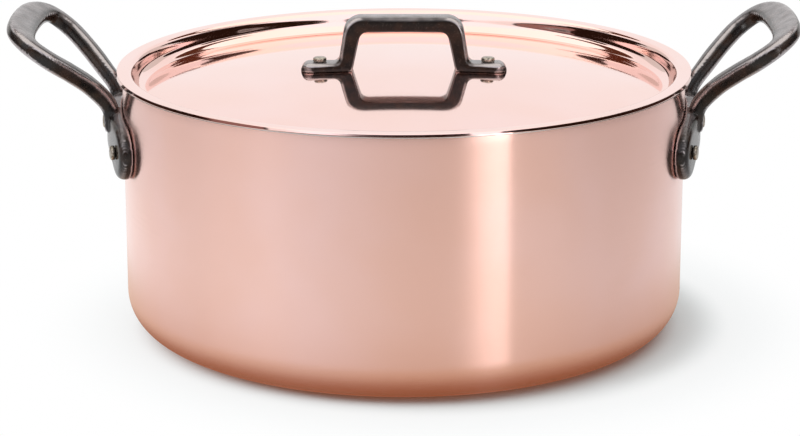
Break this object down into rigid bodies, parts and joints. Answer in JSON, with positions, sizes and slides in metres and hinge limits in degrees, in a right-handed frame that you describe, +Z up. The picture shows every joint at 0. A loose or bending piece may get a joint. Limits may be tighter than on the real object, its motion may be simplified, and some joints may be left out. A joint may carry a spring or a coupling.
{
  "type": "stewpot with lid",
  "caption": "Round straight-walled copper stewpot with cast-iron loop handles at its sides and a flat-rimmed, dished lid with a bridge handle.",
  "frame": {"origin": "centre of the pot's flat base, on the surface it stands on", "axes": "+Z up along the pot's axis, the side handles along X, the pot seen from -Y as in the picture"},
  "size_m": [0.3966, 0.29, 0.1606],
  "materials": {
    "polished_copper": "fine-polished copper",
    "steel_lining": "satin steel with fine turned lines",
    "cast_iron": "dark semi-gloss casting with a fine grain",
    "rivet_steel": "bright steel rivet"
  },
  "bodies": {
    "pot": {"pot_shell": "polished_copper", "pot_lining": "steel_lining", "side_handle_left": "cast_iron", "side_handle_right": "cast_iron", "handle_rivet_left_centre": "rivet_steel", "handle_rivet_left_front": "rivet_steel", "handle_rivet_left_back": "rivet_steel", "handle_rivet_right_centre": "rivet_steel", "handle_rivet_right_front": "rivet_steel", "handle_rivet_right_back": "rivet_steel"},
    "lid": {"lid_shell": "polished_copper", "lid_lining": "steel_lining", "lid_handle": "cast_iron", "lid_rivet_left": "rivet_steel", "lid_rivet_right": "rivet_steel"}
  },
  "joints": [
    {"name": "lid_lift", "type": "slide", "parent": "pot", "child": "lid", "axis": [0, 0, 1], "range_m": [0, 0.2]}
  ]
}
